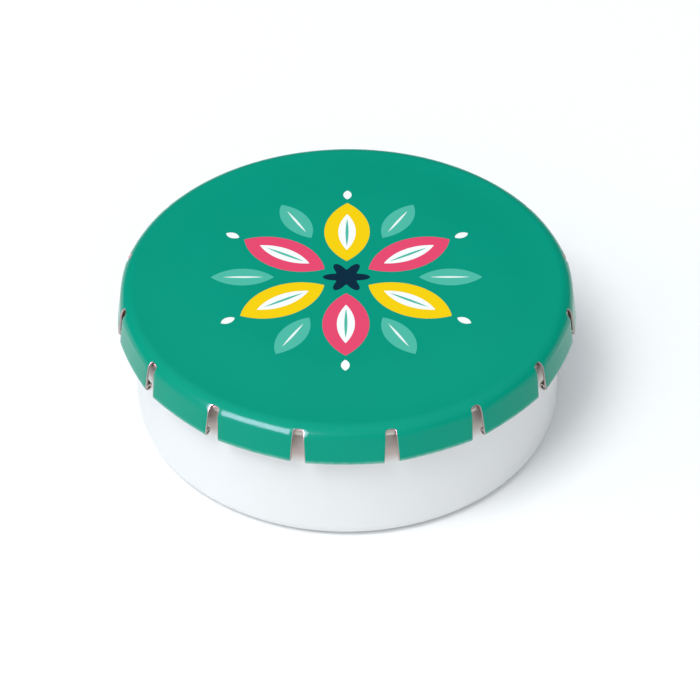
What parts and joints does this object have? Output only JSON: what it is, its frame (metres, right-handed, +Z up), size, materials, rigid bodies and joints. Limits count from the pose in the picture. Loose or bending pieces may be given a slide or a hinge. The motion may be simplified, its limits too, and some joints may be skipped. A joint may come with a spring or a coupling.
{
  "type": "mint tin",
  "caption": "Round mint tin: drawn cup with rolled bead, and a click lid whose pressed middle snaps down and spreads the slotted skirt so the lid lifts off; round mints inside.",
  "frame": {"origin": "centre of the cup's foot ring, on the plane the tin stands on", "axes": "+Z up along the tin's axis; -Y is the front, which the picture looks at, with one tab centred on it"},
  "size_m": [0.0598, 0.0598, 0.02],
  "materials": {
    "cup_lacquer": "satin white lacquer on tinplate",
    "lid_print": "gloss green print on tinplate",
    "mint": "chalky pressed sugar"
  },
  "bodies": {
    "base": {"base_cup": "cup_lacquer", "mint_01": "mint", "mint_02": "mint", "mint_03": "mint", "mint_04": "mint", "mint_05": "mint", "mint_06": "mint", "mint_07": "mint", "mint_08": "mint", "mint_09": "mint", "mint_10": "mint", "mint_11": "mint", "mint_12": "mint", "mint_13": "mint", "mint_14": "mint", "mint_15": "mint", "mint_16": "mint", "mint_17": "mint", "mint_18": "mint", "mint_19": "mint", "mint_20": "mint", "mint_21": "mint", "mint_22": "mint", "mint_23": "mint", "mint_24": "mint", "mint_25": "mint", "mint_26": "mint", "mint_27": "mint", "mint_28": "mint", "mint_29": "mint", "mint_30": "mint", "mint_31": "mint", "mint_32": "mint", "mint_33": "mint"},
    "lid": {"lid_rim": "lid_print"},
    "panel": {"lid_panel": "lid_print"},
    "tab_01": {"lid_tab_01": "lid_print"},
    "tab_02": {"lid_tab_02": "lid_print"},
    "tab_03": {"lid_tab_03": "lid_print"},
    "tab_04": {"lid_tab_04": "lid_print"},
    "tab_05": {"lid_tab_05": "lid_print"},
    "tab_06": {"lid_tab_06": "lid_print"},
    "tab_07": {"lid_tab_07": "lid_print"},
    "tab_08": {"lid_tab_08": "lid_print"},
    "tab_09": {"lid_tab_09": "lid_print"},
    "tab_10": {"lid_tab_10": "lid_print"},
    "tab_11": {"lid_tab_11": "lid_print"},
    "tab_12": {"lid_tab_12": "lid_print"},
    "tab_13": {"lid_tab_13": "lid_print"},
    "tab_14": {"lid_tab_14": "lid_print"},
    "tab_15": {"lid_tab_15": "lid_print"},
    "tab_16": {"lid_tab_16": "lid_print"}
  },
  "joints": [
    {"name": "lid_lift", "type": "slide", "parent": "base", "child": "lid", "axis": [0, 0, 1], "range_m": [0, 0.03]},
    {"name": "panel_click", "type": "slide", "parent": "lid", "child": "panel", "axis": [0, 0, -1], "range_m": [0, 0.001]},
    {"name": "tab_01_flex", "type": "hinge", "parent": "lid", "child": "tab_01", "pos_m": [0, -0.02939, 0.01839], "axis": [-1, 0, 0], "range_deg": [0, 5.5]},
    {"name": "tab_02_flex", "type": "hinge", "parent": "lid", "child": "tab_02", "pos_m": [0.01125, -0.02716, 0.01839], "axis": [-0.9239, -0.3827, 0], "range_deg": [0, 5.5]},
    {"name": "tab_03_flex", "type": "hinge", "parent": "lid", "child": "tab_03", "pos_m": [0.02078, -0.02078, 0.01839], "axis": [-0.7071, -0.7071, 0], "range_deg": [0, 5.5]},
    {"name": "tab_04_flex", "type": "hinge", "parent": "lid", "child": "tab_04", "pos_m": [0.02716, -0.01125, 0.01839], "axis": [-0.3827, -0.9239, 0], "range_deg": [0, 5.5]},
    {"name": "tab_05_flex", "type": "hinge", "parent": "lid", "child": "tab_05", "pos_m": [0.02939, 0, 0.01839], "axis": [0, -1, 0], "range_deg": [0, 5.5]},
    {"name": "tab_06_flex", "type": "hinge", "parent": "lid", "child": "tab_06", "pos_m": [0.02716, 0.01125, 0.01839], "axis": [0.3827, -0.9239, 0], "range_deg": [0, 5.5]},
    {"name": "tab_07_flex", "type": "hinge", "parent": "lid", "child": "tab_07", "pos_m": [0.02078, 0.02078, 0.01839], "axis": [0.7071, -0.7071, 0], "range_deg": [0, 5.5]},
    {"name": "tab_08_flex", "type": "hinge", "parent": "lid", "child": "tab_08", "pos_m": [0.01125, 0.02716, 0.01839], "axis": [0.9239, -0.3827, 0], "range_deg": [0, 5.5]},
    {"name": "tab_09_flex", "type": "hinge", "parent": "lid", "child": "tab_09", "pos_m": [0, 0.02939, 0.01839], "axis": [1, 0, 0], "range_deg": [0, 5.5]},
    {"name": "tab_10_flex", "type": "hinge", "parent": "lid", "child": "tab_10", "pos_m": [-0.01125, 0.02716, 0.01839], "axis": [0.9239, 0.3827, 0], "range_deg": [0, 5.5]},
    {"name": "tab_11_flex", "type": "hinge", "parent": "lid", "child": "tab_11", "pos_m": [-0.02078, 0.02078, 0.01839], "axis": [0.7071, 0.7071, 0], "range_deg": [0, 5.5]},
    {"name": "tab_12_flex", "type": "hinge", "parent": "lid", "child": "tab_12", "pos_m": [-0.02716, 0.01125, 0.01839], "axis": [0.3827, 0.9239, 0], "range_deg": [0, 5.5]},
    {"name": "tab_13_flex", "type": "hinge", "parent": "lid", "child": "tab_13", "pos_m": [-0.02939, 0, 0.01839], "axis": [0, 1, 0], "range_deg": [0, 5.5]},
    {"name": "tab_14_flex", "type": "hinge", "parent": "lid", "child": "tab_14", "pos_m": [-0.02716, -0.01125, 0.01839], "axis": [-0.3827, 0.9239, 0], "range_deg": [0, 5.5]},
    {"name": "tab_15_flex", "type": "hinge", "parent": "lid", "child": "tab_15", "pos_m": [-0.02078, -0.02078, 0.01839], "axis": [-0.7071, 0.7071, 0], "range_deg": [0, 5.5]},
    {"name": "tab_16_flex", "type": "hinge", "parent": "lid", "child": "tab_16", "pos_m": [-0.01125, -0.02716, 0.01839], "axis": [-0.9239, 0.3827, 0], "range_deg": [0, 5.5]}
  ],
  "couplings": [
    {"joint": "tab_01_flex", "follows": "panel_click", "rad_per_m": 87.266},
    {"joint": "tab_02_flex", "follows": "panel_click", "rad_per_m": 87.266},
    {"joint": "tab_03_flex", "follows": "panel_click", "rad_per_m": 87.266},
    {"joint": "tab_04_flex", "follows": "panel_click", "rad_per_m": 87.266},
    {"joint": "tab_05_flex", "follows": "panel_click", "rad_per_m": 87.266},
    {"joint": "tab_06_flex", "follows": "panel_click", "rad_per_m": 87.266},
    {"joint": "tab_07_flex", "follows": "panel_click", "rad_per_m": 87.266},
    {"joint": "tab_08_flex", "follows": "panel_click", "rad_per_m": 87.266},
    {"joint": "tab_09_flex", "follows": "panel_click", "rad_per_m": 87.266},
    {"joint": "tab_10_flex", "follows": "panel_click", "rad_per_m": 87.266},
    {"joint": "tab_11_flex", "follows": "panel_click", "rad_per_m": 87.266},
    {"joint": "tab_12_flex", "follows": "panel_click", "rad_per_m": 87.266},
    {"joint": "tab_13_flex", "follows": "panel_click", "rad_per_m": 87.266},
    {"joint": "tab_14_flex", "follows": "panel_click", "rad_per_m": 87.266},
    {"joint": "tab_15_flex", "follows": "panel_click", "rad_per_m": 87.266},
    {"joint": "tab_16_flex", "follows": "panel_click", "rad_per_m": 87.266}
  ]
}
